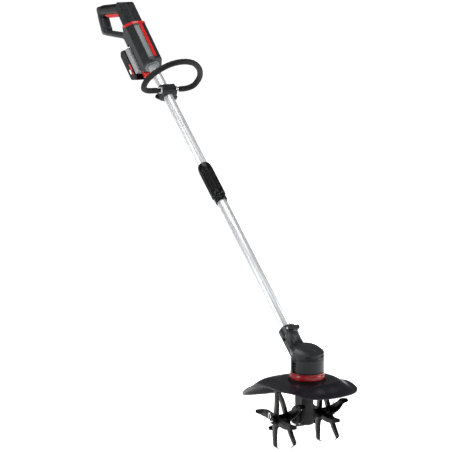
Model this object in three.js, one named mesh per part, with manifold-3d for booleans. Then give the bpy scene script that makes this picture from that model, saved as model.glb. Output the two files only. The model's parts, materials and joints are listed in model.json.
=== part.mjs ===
// Battery pole tiller: a worm-drive head with four tine stars under a guard, a split shaft with a
// twist coupler, a front loop handle and a rear D-handle that carries the battery.
// Millimetres, +Z up, +X to the right of the user, +Y back towards the user. The tool is laid out
// about the middle of the tine axle at ground level, then moved so that the rear grip is at the origin.
import * as THREE from 'three';
import { mergeVertices } from 'three/addons/utils/BufferGeometryUtils.js';
import Module from 'manifold-3d';

const wasm = await Module();
wasm.setup();

// Driving dimensions
const GAP = 0.3;                       // clearance between touching pieces
const FACETS = 18;                     // sides of a round piece
const AXLE_HEIGHT = 77.5;               // tine axle above the ground
const AXLE_RADIUS = 6;
const AXLE_HALF = 105;
const MOTOR_Y = -20;                   // upright motor and worm axis, in front of the axle
const COLLAR_BOTTOM = 184;
const COLLAR_RADIUS = 46;
const HOUSING_BOTTOM = 201.3;
const HOUSING_TOP = 242;
const HOUSING_RADIUS = 44;
const CAP_HEIGHT = 23.7;               // at the middle of its slanted top
const CAP_SLANT = 0.38;                // share of the height gained at the back and lost in front
const SHAFT_ANGLE = 40 * Math.PI / 180;
const SOCKET_MOUTH = [81, 292];        // Y and Z of the point where the tube leaves its socket
const TUBE_RADIUS = 14;
const TUBE_WALL = 1.2;
const TUBE_SPLIT = 505;                // all shaft stations are measured up the tube from the mouth
const COUPLER_START = 450.6;
const SLEEVE_START = 473;
const SLEEVE_END = 589;
const SLEEVE_RADIUS = 20.5;
const BRACKET_STATION = 874;
const BAR_HEIGHT = 12;                 // loop handle's ends above the shaft axis
const LOOP_LEAN = 7 * Math.PI / 180;   // towards the head
const LOOP_TUBE_RADIUS = 6;
const FOAM_RADIUS = 8.3;
const BRACKET_LEFT = -18;              // the clamp bracket reaches further out on the right
const BRACKET_RIGHT = 24.5;
const WASHER_WIDTH = 6;
const BUTTON_STATION = -30;            // spring button's place on the shaft
const HOUSING_STATION = 988;           // lower end of the rear housing
const HOUSING_TILT = 2.65 * Math.PI / 180; // the housing rises a little from the shaft
const HOUSING_FOOT = -7;
const HOUSING_LENGTH = 243;
const HOUSING_ROOF = 37;               // ridge of the housing above its own axis
const SEAT_DEPTH = 24;                 // battery seat below the housing's axis
const BELLY_DEPTH = 36;                // housing underside behind the battery
const BAND_START = 132;                // red band at the ridge; it leans back towards its ends
const BAND_END = 141;
const BAND_SLANT = 0.5;
const BAND_FOOT = -9;
const BELLY_START = 104.5;
const STRIPE_FOOT = 2;
const GRIP_FRONT = [1005, 1081.5];     // Y and Z of the corners of the D-handle's centre line
const GRIP_BACK = [1161, 1064];
const POST_FOOT = [1123, 999];
const BAR_FRONT = [950, 999];
const BATTERY_HALF = 35;
const BATTERY_FLOOR = 79;
const BATTERY_BACK = 116;
const LID_BACK = 99;
const TOOTH_COUNT = 20;
const WHEEL_PITCH_RADIUS = 12.5;
const WORM_PITCH = 2 * Math.PI * WHEEL_PITCH_RADIUS / TOOTH_COUNT;
const STAR_STATIONS = [-83, -50, 50, 83];

const LOOKS = {
  charcoal: { color: 0x3f4345, roughness: 0.55, metalness: 0 },
  black: { color: 0x1d1d1e, roughness: 0.6, metalness: 0 },
  red: { color: 0xc8201f, roughness: 0.4, metalness: 0 },
  collar_red: { color: 0xa01018, roughness: 0.35, metalness: 0 },
  guard: { color: 0x2c2a30, roughness: 0.5, metalness: 0 },
  tine_paint: { color: 0x1a1517, roughness: 0.35, metalness: 0.3 },
  tube: { color: 0xd4d7da, roughness: 0.3, metalness: 1 },
  steel: { color: 0xb4b6b8, roughness: 0.35, metalness: 1 },
  casting: { color: 0x7c7d80, roughness: 0.5, metalness: 0.7 },
  foam: { color: 0x1f1f1d, roughness: 0.95, metalness: 0 },
  grey: { color: 0x8d8d90, roughness: 0.5, metalness: 0 },
  copper: { color: 0xb06a3a, roughness: 0.4, metalness: 0.9 },
  board: { color: 0x1e5a32, roughness: 0.5, metalness: 0 },
  bronze: { color: 0xb08a4a, roughness: 0.4, metalness: 0.9 },
  rubber: { color: 0x161616, roughness: 0.85, metalness: 0 },
};

// Solids from geometries: shared vertices merged, faces without area dropped, faces turned outwards
function solid(geometry) {
  const bare = geometry.clone();
  bare.deleteAttribute('normal');
  bare.deleteAttribute('uv');
  const merged = mergeVertices(bare, 1e-4);
  const index = merged.index.array;
  const points = merged.attributes.position.array;
  const faces = [];
  let volume = 0;
  for (let i = 0; i < index.length; i += 3) {
    const corners = [index[i], index[i + 1], index[i + 2]];
    if (new Set(corners).size < 3) continue;
    faces.push(...corners);
    const [a, b, c] = corners.map((v) => new THREE.Vector3().fromArray(points, 3 * v));
    volume += a.dot(b.cross(c));
  }
  if (volume < 0) faces.reverse();
  return new wasm.Manifold(new wasm.Mesh({
    numProp: 3,
    vertProperties: Float32Array.from(points),
    triVerts: Uint32Array.from(faces),
  }));
}

function geometryOf(manifold) {
  const mesh = manifold.getMesh();
  const geometry = new THREE.BufferGeometry();
  geometry.setAttribute('position', new THREE.BufferAttribute(mesh.vertProperties, 3));
  geometry.setIndex(new THREE.BufferAttribute(mesh.triVerts, 1));
  return geometry;
}

const join = (...pieces) => geometryOf(pieces.map(solid).reduce((a, b) => a.add(b)));
const cut = (piece, ...tools) => geometryOf(tools.map(solid).reduce((a, b) => a.subtract(b), solid(piece)));
const meet = (first, second) => geometryOf(solid(first).intersect(solid(second)));

// Basic shapes
function block(low, high) {
  const size = high.map((value, i) => value - low[i]);
  const middle = high.map((value, i) => (value + low[i]) / 2);
  return new THREE.BoxGeometry(...size).translate(...middle);
}

function turnTo(axis, geometry) {
  if (axis === 'x') geometry.rotateZ(-Math.PI / 2);
  if (axis === 'z') geometry.rotateX(Math.PI / 2);
  return geometry;
}

function rod(axis, radius, from, to, sides = FACETS) {
  const bar = new THREE.CylinderGeometry(radius, radius, to - from, sides).translate(0, (from + to) / 2, 0);
  return turnTo(axis, bar);
}

function turned(axis, profile, sides = FACETS) {
  const points = profile.map(([radius, along]) => new THREE.Vector2(radius, along));
  return turnTo(axis, new THREE.LatheGeometry(points, sides));
}

function ring(axis, inner, outer, from, to, sides = FACETS) {
  return turned(axis, [[inner, from], [outer, from], [outer, to], [inner, to], [inner, from]], sides);
}

function roundedShape(corners, radius) {
  const shape = new THREE.Shape();
  corners.forEach((corner, i) => {
    const here = new THREE.Vector2(...corner);
    const before = new THREE.Vector2(...corners[(i + corners.length - 1) % corners.length]);
    const after = new THREE.Vector2(...corners[(i + 1) % corners.length]);
    const size = Array.isArray(radius) ? radius[i] : radius;
    const reach = Math.min(size, here.distanceTo(before) / 2.2, here.distanceTo(after) / 2.2);
    const start = here.clone().lerp(before, reach / here.distanceTo(before));
    const end = here.clone().lerp(after, reach / here.distanceTo(after));
    if (i === 0) shape.moveTo(start.x, start.y);
    else shape.lineTo(start.x, start.y);
    if (size > 0) shape.quadraticCurveTo(here.x, here.y, end.x, end.y);
  });
  shape.closePath();
  return shape;
}

// A side view in Y and Z, made as wide as two half widths along X
function acrossX(shape, half, bevel = 0, segments = 4, rounds = 1) {
  const plate = new THREE.ExtrudeGeometry(shape, {
    depth: 2 * (half - bevel),
    bevelEnabled: bevel > 0,
    bevelSize: bevel,
    bevelOffset: -bevel,
    bevelThickness: bevel,
    bevelSegments: rounds,
    curveSegments: segments,
  });
  plate.translate(0, 0, -(half - bevel));
  const turn = new THREE.Matrix4().makeBasis(
    new THREE.Vector3(0, 1, 0),
    new THREE.Vector3(0, 0, 1),
    new THREE.Vector3(1, 0, 0),
  );
  return plate.applyMatrix4(turn);
}

// A section in X and Z, run from one Y to another
function alongY(shape, from, to, segments = 4) {
  const options = { depth: to - from, bevelEnabled: false, curveSegments: segments };
  const bar = new THREE.ExtrudeGeometry(shape, options);
  return bar.rotateX(Math.PI / 2).translate(0, to, 0);
}

function alongPath(curve, radius, sides, steps, bore = 0) {
  const section = new THREE.Shape();
  const circle = (size) => Array.from({ length: sides }, (_, i) => {
    const angle = 2 * Math.PI * i / sides;
    return new THREE.Vector2(size * Math.cos(angle), size * Math.sin(angle));
  });
  section.setFromPoints(circle(radius));
  if (bore > 0) section.holes.push(new THREE.Path(circle(bore)));
  return new THREE.ExtrudeGeometry(section, { extrudePath: curve, steps, bevelEnabled: false });
}

// Frames: the tool about its axle, the shaft about its socket mouth, the rear about its housing end
const tool = new THREE.Group();
const shaft = new THREE.Group();
shaft.position.set(0, ...SOCKET_MOUTH);
shaft.rotation.x = SHAFT_ANGLE;
const rear = new THREE.Group();
rear.position.y = HOUSING_STATION;
rear.rotation.x = HOUSING_TILT;
const loop = new THREE.Group();
loop.position.set(0, BRACKET_STATION, BAR_HEIGHT);
loop.rotation.x = LOOP_LEAN;
const grip = new THREE.Group();
const gripRise = Math.atan2(GRIP_BACK[1] - GRIP_FRONT[1], GRIP_BACK[0] - GRIP_FRONT[0]);
grip.position.set(0, ...GRIP_FRONT);
grip.rotation.x = gripRise;
tool.add(shaft, grip);
shaft.add(rear, loop);
tool.updateMatrixWorld(true);

function moved(geometry, from, to) {
  const change = to.matrixWorld.clone().invert().multiply(from.matrixWorld);
  return geometry.clone().applyMatrix4(change);
}

function addPart(frame, name, look, geometry) {
  const mesh = new THREE.Mesh(geometry, new THREE.MeshStandardMaterial(LOOKS[look]));
  mesh.name = name;
  frame.add(mesh);
}

const atMotor = (geometry) => geometry.translate(0, MOTOR_Y, 0);
const atAxle = (geometry) => geometry.translate(0, 0, AXLE_HEIGHT);

// Head: motor housing, cap and collar about the upright motor axis
function motorHousing() {
  const shell = turned('z', [
    [9, 187], [39.6, 187], [39.6, HOUSING_BOTTOM], [HOUSING_RADIUS, HOUSING_BOTTOM],
    [HOUSING_RADIUS, HOUSING_TOP], [41, HOUSING_TOP], [41, 204], [36.6, 204], [36.6, 190], [9, 190], [9, 187],
  ], 28);
  const slots = [];
  for (const side of [-1, 1]) {
    for (let row = 0; row < 4; row += 1) {
      const height = 208 + 7 * row;
      const slot = block([38, -5, height], [50, 5, height + 3]);
      slots.push(slot.rotateZ(side > 0 ? 0.45 : Math.PI - 0.45));
    }
  }
  return atMotor(cut(shell, ...slots));
}

function motorCap() {
  const dome = turned('z', [
    [0, CAP_HEIGHT - 3], [38, CAP_HEIGHT - 3], [41, CAP_HEIGHT - 8], [41, 0], [HOUSING_RADIUS, 0],
    [HOUSING_RADIUS, CAP_HEIGHT - 7], [42.6, CAP_HEIGHT - 2], [39, CAP_HEIGHT], [0, CAP_HEIGHT],
  ], 28);
  const points = dome.attributes.position;
  for (let i = 0; i < points.count; i += 1) {
    const slant = 1 + CAP_SLANT * points.getY(i) / HOUSING_RADIUS;
    points.setZ(i, points.getZ(i) * slant);
  }
  const pockets = [-40, 40].map((degrees) => {
    const pocket = new THREE.SphereGeometry(5, 10, 6).scale(2.4, 0.5, 0.8);
    pocket.translate(0, -HOUSING_RADIUS, 7.5);
    return pocket.rotateZ(degrees * Math.PI / 180);
  });
  return atMotor(cut(dome, ...pockets).translate(0, 0, HOUSING_TOP + GAP));
}

addPart(tool, 'motor_housing', 'charcoal', motorHousing());
addPart(tool, 'motor_cap', 'charcoal', motorCap());
addPart(tool, 'red_collar', 'collar_red',
  atMotor(ring('z', 40, COLLAR_RADIUS, COLLAR_BOTTOM, HOUSING_BOTTOM - GAP, 28)));
addPart(tool, 'motor_bearing', 'steel', atMotor(ring('z', 4.3, 8.7, 187, 190)));
addPart(tool, 'motor_can', 'steel',
  atMotor(turned('z', [[26, 192], [29, 192], [29, 238], [5, 238], [5, 235], [26, 235], [26, 192]])));
addPart(tool, 'motor_armature', 'copper', atMotor(ring('z', 4.3, 24, 197, 231)));
addPart(tool, 'motor_shaft', 'steel', atMotor(rod('z', 4, AXLE_HEIGHT - 22, 246, 16)));

function coolingFan() {
  const blades = [];
  for (let i = 0; i < 6; i += 1) {
    blades.push(block([6, -0.8, 240], [25, 0.8, 246]).rotateZ(i * Math.PI / 3));
  }
  return atMotor(join(ring('z', 4.3, 8, 239, 246), ...blades));
}
addPart(tool, 'cooling_fan', 'black', coolingFan());

// Shaft socket: an eight-sided sleeve that grows out of the back of the motor housing
function shaftSocket() {
  const section = roundedShape(
    [[-11, 22], [-23, 8], [-23, -10], [-13, -21], [13, -21], [23, -10], [23, 8], [11, 22]], 2);
  const sleeve = alongY(section, -120, 0, 2);
  const mouth = rod('y', 24.2, -24, 0, 20);
  const boss = rod('x', 6.2, -14, 19, 16).translate(0, -13, 25);
  const bossFoot = block([-12, -19, 14], [17, -7, 25]);
  const body = join(sleeve, mouth, boss, bossFoot);
  const bore = rod('y', TUBE_RADIUS + GAP, -62, 5);
  const screwHole = rod('x', 2.8, -20, 25, 12).translate(0, -13, 25);
  const wireHole = rod('y', 6, -140, -55, 12);
  const buttonHole = rod('x', 4.3, -30, -10, 12).translate(0, BUTTON_STATION, 0);
  const sleeveOnly = cut(body, bore, screwHole, wireHole, buttonHole);
  const housingSpace = atMotor(rod('z', HOUSING_RADIUS + GAP, 100, 330, 28));
  const floor = block([-60, -120, 60], [60, 60, HOUSING_BOTTOM + 1]);
  return cut(sleeveOnly, moved(housingSpace, tool, shaft), moved(floor, tool, shaft));
}
addPart(shaft, 'shaft_socket', 'charcoal', shaftSocket());
addPart(shaft, 'socket_clamp_screw', 'steel',
  join(rod('x', 2.5, -16, 21, 12), rod('x', 4.2, 19.3, 22.5, 12)).translate(0, -13, 25));
addPart(shaft, 'spring_button', 'black', rod('x', 4, -27, -17.5, 12).translate(0, BUTTON_STATION, 0));

// Guard: a moulded sheet that is level round the collar, falls gently in front and hangs down behind
const GUARD_EDGE = [
  [-117, -55, -8], [-120, 0, -9], [-121, 45, -15], [-123, 95, -32], [-116, 136, -60], [-64, 148, -70],
  [0, 146, -72], [60, 140, -68], [112, 120, -55], [128, 60, -28], [130, 5, -21], [118, -57, -29],
  [88, -95, -29], [38, -112, -29], [-9, -111, -29], [-62, -111, -22], [-100, -88, -9],
];
const GUARD_CROWN = -5;
const GUARD_THICKNESS = 3;
const GUARD_HOLE = 30;

function guardPoint(edge, share) {
  const reach = Math.hypot(edge.x, edge.y);
  const radius = GUARD_HOLE + share * (reach - GUARD_HOLE);
  const back = Math.max(0, edge.y / reach);
  const fall = Math.pow(share, 2 + 2.2 * back);
  const height = GUARD_CROWN + (edge.z - GUARD_CROWN) * fall;
  return new THREE.Vector3(edge.x * radius / reach, edge.y * radius / reach, height);
}

function guardShield(rings, sides) {
  const rim = new THREE.CatmullRomCurve3(GUARD_EDGE.map((point) => new THREE.Vector3(...point)), true);
  const sheet = new THREE.PlaneGeometry(1, 1, sides, 2 * rings + 1);
  const points = sheet.attributes.position;
  for (let i = 0; i < points.count; i += 1) {
    const column = (i % (sides + 1)) % sides;
    const row = Math.floor(i / (sides + 1));
    const under = row > rings;
    const share = under ? (2 * rings + 1 - row) / rings : row / rings;
    const place = guardPoint(rim.getPointAt(column / sides), share);
    points.setXYZ(i, place.x, place.y, place.z - (under ? GUARD_THICKNESS : 0));
  }
  // the last row of the sheet joins the first across the hole's wall
  const index = Array.from(sheet.index.array);
  const last = (2 * rings + 1) * (sides + 1);
  for (let i = 0; i < sides; i += 1) {
    index.push(last + i, i, last + i + 1);
    index.push(last + i + 1, i, i + 1);
  }
  sheet.setIndex(index);
  return sheet.translate(0, MOTOR_Y, COLLAR_BOTTOM);
}

addPart(tool, 'guard_shield', 'guard', geometryOf(solid(guardShield(5, 38))));

// Gear case: two halves that meet in the middle plane, hollowed for the worm and its wheel
function gearCase() {
  const flange = atMotor(rod('z', 36, 164, 175, 24));
  const neck = atMotor(rod('z', GUARD_HOLE - 1.5, 170, 186.6, 20));
  const column = atMotor(rod('z', 17, AXLE_HEIGHT - 18, 168));
  const web = block([-15, -18, 70], [15, 16, 168]);
  const drum = atAxle(rod('x', 28, -20, 20, 22));
  const bosses = atAxle(rod('x', 19, -30, 30));
  return join(flange, neck, column, web, drum, bosses);
}

function gearCaseHollow() {
  return join(
    atMotor(rod('z', 9.6, AXLE_HEIGHT - 14, AXLE_HEIGHT + 24)),
    atMotor(rod('z', 5, AXLE_HEIGHT + 20, 190, 16)),
    atMotor(rod('z', 8.3, AXLE_HEIGHT - 23, AXLE_HEIGHT - 13)),
    atAxle(rod('x', 15.5, -5, 5)),
    atAxle(rod('x', 7.5, -40, 40)),
    atAxle(rod('x', 12.3, -31, -18)),
    atAxle(rod('x', 12.3, 18, 31)),
  );
}

const gearCaseBody = cut(gearCase(), gearCaseHollow());
addPart(tool, 'gear_case_left', 'casting', meet(gearCaseBody, block([-60, -90, 0], [-GAP / 2, 60, 200])));
addPart(tool, 'gear_case_right', 'casting', meet(gearCaseBody, block([GAP / 2, -90, 0], [60, 60, 200])));
addPart(tool, 'worm_bearing', 'steel', atMotor(ring('z', 4.3, 8, AXLE_HEIGHT - 22, AXLE_HEIGHT - 16, 20)));

function worm() {
  const turns = 4;
  const steps = 12 * turns;
  const tooth = new THREE.Shape([[5.9, -0.8], [8.5, -0.45], [8.5, 0.45], [5.9, 0.8]].map(
    ([radius, along]) => new THREE.Vector2(radius, along)));
  const thread = new THREE.ExtrudeGeometry(tooth, { depth: 1, steps, bevelEnabled: false });
  const points = thread.attributes.position;
  for (let i = 0; i < points.count; i += 1) {
    const turn = (points.getZ(i) - 0.5) * turns;
    const angle = 2 * Math.PI * turn;
    const radius = points.getX(i);
    const height = points.getY(i) + WORM_PITCH * (turn + 0.25);
    points.setXYZ(i, radius * Math.cos(angle), radius * Math.sin(angle), height);
  }
  const core = ring('z', 4.3, 6.3, -14, 14, 20);
  return join(core, thread).translate(0, MOTOR_Y, AXLE_HEIGHT);
}
addPart(tool, 'worm', 'steel', worm());

function wormWheel() {
  const outline = [];
  for (let i = 0; i < TOOTH_COUNT; i += 1) {
    const middle = Math.PI + 2 * Math.PI * i / TOOTH_COUNT;
    for (const [radius, half] of [[11.2, -0.85], [13.5, -0.5], [13.5, 0.5], [11.2, 0.85]]) {
      const angle = middle + half / radius;
      outline.push([radius * Math.cos(angle), radius * Math.sin(angle)]);
    }
  }
  const wheel = acrossX(new THREE.Shape(outline.map((p) => new THREE.Vector2(...p))), 3);
  return atAxle(cut(wheel, rod('x', AXLE_RADIUS + GAP, -10, 10)));
}
addPart(tool, 'worm_wheel', 'bronze', wormWheel());

// Axle, tine stars and clips
function tineAxle() {
  const holes = [-1, 1].map((side) => rod('z', 1.7, -10, 10, 10).translate(side * 99.5, 0, 0));
  return atAxle(cut(rod('x', AXLE_RADIUS, -AXLE_HALF, AXLE_HALF), ...holes));
}
addPart(tool, 'tine_axle', 'steel', tineAxle());

const ARM_STRAIGHT = 75;
const TIP_LENGTH = 15.5;
const TIP_BEND = 64 * Math.PI / 180;
const PLATE = 4;

function tineStar(firstAngle) {
  const arms = [];
  [1, 1, -1, -1].forEach((side, i) => {
    const armShape = roundedShape([[-10, 0], [10, 0], [7, ARM_STRAIGHT], [-7, ARM_STRAIGHT]], 0);
    const arm = acrossX(armShape, PLATE / 2);
    const tipShape = roundedShape([[-7, -1], [7, -1], [5.5, TIP_LENGTH], [-6.5, TIP_LENGTH - 3]], 0);
    const tip = acrossX(tipShape, PLATE / 2);
    tip.rotateY(side * TIP_BEND).translate(0, 0, ARM_STRAIGHT);
    // arm angles run from straight up over the front
    const turn = firstAngle + i * Math.PI / 2;
    arms.push(arm.rotateX(turn), tip.rotateX(turn));
  });
  const hub = rod('x', 17, -PLATE / 2, PLATE / 2);
  return cut(join(hub, ...arms), rod('x', 11.8, -5, 5));
}

const STAR_NAMES = [
  'tine_star_outer_left', 'tine_star_inner_left', 'tine_star_inner_right', 'tine_star_outer_right',
];
STAR_STATIONS.forEach((station, i) => {
  const firstAngle = (i % 2 === 0 ? 93 : -33) * Math.PI / 180;
  addPart(tool, STAR_NAMES[i], 'tine_paint', tineStar(firstAngle).translate(station, 0, AXLE_HEIGHT));
});

function hairpinClip() {
  const points = [
    [0, -15], [0, 0], [0, 13], [3.5, 19], [8.5, 17.5], [9, 11], [7.9, 5], [7.7, 0], [8.4, -6], [11, -12],
  ];
  const path = new THREE.CatmullRomCurve3(points.map(([y, z]) => new THREE.Vector3(0, y, z)));
  return alongPath(path, 1.3, 5, 20);
}

for (const [name, side] of [['left', -1], ['right', 1]]) {
  const from = side < 0 ? -95 : 31.5;
  const to = side < 0 ? -31.5 : 95;
  addPart(tool, `hub_tube_${name}`, 'tine_paint', atAxle(ring('x', AXLE_RADIUS + GAP, 11.5, from, to)));
  addPart(tool, `hairpin_clip_${name}`, 'steel', atAxle(hairpinClip().translate(side * 99.5, 0, 0)));
  const seat = side < 0 ? [-26, -19] : [19, 26];
  addPart(tool, `axle_bearing_${name}`, 'steel', atAxle(ring('x', AXLE_RADIUS + GAP, 12, ...seat)));
  const seal = side < 0 ? [-29.7, -26.5] : [26.5, 29.7];
  addPart(tool, `axle_seal_${name}`, 'rubber', atAxle(ring('x', AXLE_RADIUS + GAP, 12, ...seal)));
}

// Shaft tubes with the wiring inside
const TUBE_BORE = TUBE_RADIUS - TUBE_WALL;
const TUBE_FOOT = -60;
const TUBE_HEAD = HOUSING_STATION + 100;

function lowerTube() {
  const buttonHole = rod('x', 4.3, -30, -5, 12).translate(0, BUTTON_STATION, 0);
  return cut(ring('y', TUBE_BORE, TUBE_RADIUS, TUBE_FOOT, TUBE_SPLIT), buttonHole);
}
addPart(shaft, 'lower_tube', 'tube', lowerTube());
addPart(shaft, 'upper_tube', 'tube', ring('y', TUBE_BORE, TUBE_RADIUS, TUBE_SPLIT + 1, TUBE_HEAD));
addPart(shaft, 'lower_wiring', 'rubber', rod('y', 3.5, TUBE_FOOT, TUBE_SPLIT - 30, 8));
addPart(shaft, 'wiring_plug', 'black', rod('y', 9, TUBE_SPLIT - 29.7, TUBE_SPLIT - 2, 12));
addPart(shaft, 'wiring_socket', 'black', rod('y', 10.5, TUBE_SPLIT + 2, TUBE_SPLIT + 28, 12));
addPart(shaft, 'upper_wiring', 'rubber', rod('y', 3.5, TUBE_SPLIT + 28.3, TUBE_HEAD + 4, 8));

// Coupler: a collar on the lower tube, a twist sleeve and the insert that guides the tube ends
function couplerSleeve() {
  const body = turned('y', [
    [TUBE_RADIUS + GAP, SLEEVE_END], [TUBE_RADIUS + GAP, 562], [18.3, 562], [18.3, SLEEVE_START],
    [SLEEVE_RADIUS, SLEEVE_START], [SLEEVE_RADIUS, 572], [19, 582], [16.5, 587.5],
    [TUBE_RADIUS + GAP, SLEEVE_END],
  ], 20);
  const flutes = [];
  for (let i = 0; i < 10; i += 1) {
    const flute = rod('y', 2.4, SLEEVE_START + 14, 566, 8).translate(SLEEVE_RADIUS + 1.2, 0, 0);
    flutes.push(flute.rotateY(2 * Math.PI * i / 10));
  }
  return cut(body, ...flutes);
}
addPart(shaft, 'coupler_collar', 'black', turned('y', [
  [TUBE_RADIUS + GAP, COUPLER_START], [16, COUPLER_START], [17.5, COUPLER_START + 4],
  [17.5, SLEEVE_START - 3], [TUBE_RADIUS + GAP, SLEEVE_START - 3], [TUBE_RADIUS + GAP, COUPLER_START],
]));
addPart(shaft, 'coupler_sleeve', 'black', couplerSleeve());
addPart(shaft, 'coupler_insert', 'black', ring('y', TUBE_RADIUS + GAP, 17.8, SLEEVE_START + 1, 560));

// Front loop handle: bent tube, foam grip and clamp bracket
const LOOP_POINTS = [[38, 0], [62, 1.5], [80, 12], [86, 34], [83, 62], [66, 95], [36, 122]];
const LOOP_LEFT = BRACKET_LEFT - 2;
const LOOP_RIGHT = BRACKET_RIGHT + 2;

function loopCurve(from, to) {
  const half = LOOP_POINTS.map(([x, z]) => new THREE.Vector3(x, 0, z));
  const other = LOOP_POINTS.map(([x, z]) => new THREE.Vector3(-x, 0, z)).reverse();
  const ends = [LOOP_RIGHT, LOOP_LEFT].map((x) => new THREE.Vector3(x, 0, 0));
  const middle = new THREE.Vector3(0, 0, 131);
  const whole = new THREE.CatmullRomCurve3([ends[0], ...half, middle, ...other, ends[1]]);
  if (from === 0) return whole;
  const count = 40;
  const kept = [];
  for (let i = 0; i <= count; i += 1) kept.push(whole.getPointAt(from + (to - from) * i / count));
  return new THREE.CatmullRomCurve3(kept);
}
const foamCurve = loopCurve(0.025, 0.975);
addPart(loop, 'loop_tube', 'steel', alongPath(loopCurve(0, 1), LOOP_TUBE_RADIUS, 10, 34));
addPart(loop, 'loop_grip', 'foam', alongPath(foamCurve, FOAM_RADIUS, 10, 30, LOOP_TUBE_RADIUS + 4 * GAP));
for (const [name, start] of [['left', BRACKET_LEFT - 0.4 - WASHER_WIDTH], ['right', BRACKET_RIGHT + 0.9]]) {
  const washer = ring('x', LOOP_TUBE_RADIUS + GAP, 9.5, start, start + WASHER_WIDTH);
  addPart(loop, `loop_washer_${name}`, 'steel', washer);
}

// The clamp bracket's upper half carries the loop's ends and its lower half the lever's pin
const LEVER_TOP = -17.5;
const LEVER_FLOOR = -24.5;
const PIN_PLACE = [0, -4];
const PIN_RADIUS = 2.2;

function bracketHalf(corners, round) {
  const width = BRACKET_RIGHT - BRACKET_LEFT;
  const body = acrossX(roundedShape(corners, round), width / 2, 0, 3);
  return body.translate(BRACKET_LEFT + width / 2, 0, 0);
}

const tubeBore = rod('y', TUBE_RADIUS + GAP, -40, 40);
const loopBore = rod('x', 3, -60, 60, 12).translate(0, 0, BAR_HEIGHT);
const bracketTop = cut(
  bracketHalf([[-20, GAP], [-20, 14], [-12, 24], [12, 24], [20, 14], [20, GAP]], 7), tubeBore, loopBore);
const ear = block([BRACKET_RIGHT - 6, -19, -12], [BRACKET_RIGHT + 6, -3, -GAP]);
const bracketFoot = bracketHalf([[-20, -GAP], [-20, -12], [-15, -17], [15, -17], [20, -12], [20, -GAP]], 4);
const pinBore = rod('z', PIN_RADIUS + GAP, -40, -5, 12).translate(...PIN_PLACE, 0);
addPart(shaft, 'bracket_upper', 'charcoal', bracketTop.translate(0, BRACKET_STATION, 0));
addPart(shaft, 'bracket_lower', 'charcoal',
  cut(join(bracketFoot, ear), tubeBore, pinBore).translate(0, BRACKET_STATION, 0));

function leverPin() {
  const shank = rod('z', PIN_RADIUS, LEVER_FLOOR - 1, -14.6, 12);
  const head = rod('z', 4.2, LEVER_FLOOR - 1.8, LEVER_FLOOR - 0.3, 14);
  return join(shank, head).translate(...PIN_PLACE, 0);
}

// clamp lever: an arm that tapers out to the left of the pin and up the tube
function clampLever() {
  const plan = roundedShape([[9, -8], [9, 8], [-26, 6], [-28, 0], [-26, -6], [-6, -9]], 3);
  const depth = LEVER_TOP - LEVER_FLOOR;
  const arm = new THREE.ExtrudeGeometry(plan, {
    depth: depth - 2,
    bevelSize: 1,
    bevelOffset: -1,
    bevelThickness: 1,
    bevelSegments: 1,
    curveSegments: 3,
  });
  arm.rotateZ(-30 * Math.PI / 180).translate(...PIN_PLACE, LEVER_FLOOR + 1);
  return cut(arm, rod('z', PIN_RADIUS + GAP, -40, -5, 12).translate(...PIN_PLACE, 0));
}
addPart(shaft, 'lever_pin', 'steel', leverPin().translate(0, BRACKET_STATION, 0));
addPart(shaft, 'clamp_lever', 'black', clampLever().translate(0, BRACKET_STATION, 0));

// Rear housing: side view and section met, with the D-handle joined on
function housingSection(growth) {
  const wide = 1 + growth / 28;
  const tall = 1 + growth / 36;
  const corners = [
    [-5, HOUSING_ROOF], [-21, 31], [-29, 4], [-27, -36], [27, -36], [29, 4], [21, 31], [5, HOUSING_ROOF],
  ];
  return roundedShape(corners.map(([x, z]) => [x * wide, z * tall]), 1.5);
}

// the block behind the band is narrower at its top
function blockSection() {
  const corners = [[-13, 34], [-25, 16], [-28, -8], [-24, -40], [24, -40], [28, -8], [25, 16], [13, 34]];
  return roundedShape(corners, 2);
}

function offsetCorners(points, halves, side) {
  const lines = halves.map((half, i) => {
    const start = new THREE.Vector2(...points[i]);
    const end = new THREE.Vector2(...points[i + 1]);
    const run = end.clone().sub(start).normalize();
    const shift = new THREE.Vector2(-run.y, run.x).multiplyScalar(side * half);
    return { start: start.add(shift), end: end.add(shift), run };
  });
  const corners = [lines[0].start.toArray()];
  for (let i = 1; i < lines.length; i += 1) {
    const [a, b] = [lines[i - 1], lines[i]];
    const apart = b.start.clone().sub(a.start);
    const reach = apart.cross(b.run) / a.run.cross(b.run);
    corners.push(a.start.clone().addScaledVector(a.run, reach).toArray());
  }
  corners.push(lines[lines.length - 1].end.toArray());
  return corners;
}

function handleRing() {
  const rootY = GRIP_FRONT[0] - 30 * Math.cos(gripRise);
  const rootZ = GRIP_FRONT[1] - 30 * Math.sin(gripRise);
  const centre = [[rootY, rootZ], GRIP_BACK, POST_FOOT, BAR_FRONT];
  const halves = [14.5, 16, 7.5];
  const outline = [...offsetCorners(centre, halves, 1), ...offsetCorners(centre, halves, -1).reverse()];
  const corners = [14, 24, 18, 14, 14, 10, 12, 14];
  return acrossX(roundedShape(outline, corners), 14, 4, 5, 2);
}

function housingBody() {
  const front = roundedShape([
    [HOUSING_FOOT, -SEAT_DEPTH], [BELLY_START, -SEAT_DEPTH],
    [BELLY_START, -BELLY_DEPTH], [141, -BELLY_DEPTH],
    [153, -22], [BAND_END + BAND_SLANT * (HOUSING_ROOF + 13), -13],
    [BAND_END - BAND_SLANT, HOUSING_ROOF + 1], [HOUSING_FOOT, HOUSING_ROOF + 1],
  ], 0);
  const back = roundedShape([
    [156, -16], [168, -9], [230, -6], [HOUSING_LENGTH - 4, 2], [HOUSING_LENGTH, 10], [214, 33], [133, 35],
  ], 0);
  const lower = meet(acrossX(front, 40), alongY(housingSection(0), HOUSING_FOOT, 170, 2));
  const upper = meet(acrossX(back, 40), alongY(blockSection(), 128, HOUSING_LENGTH, 2));
  return join(lower, upper);
}

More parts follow.
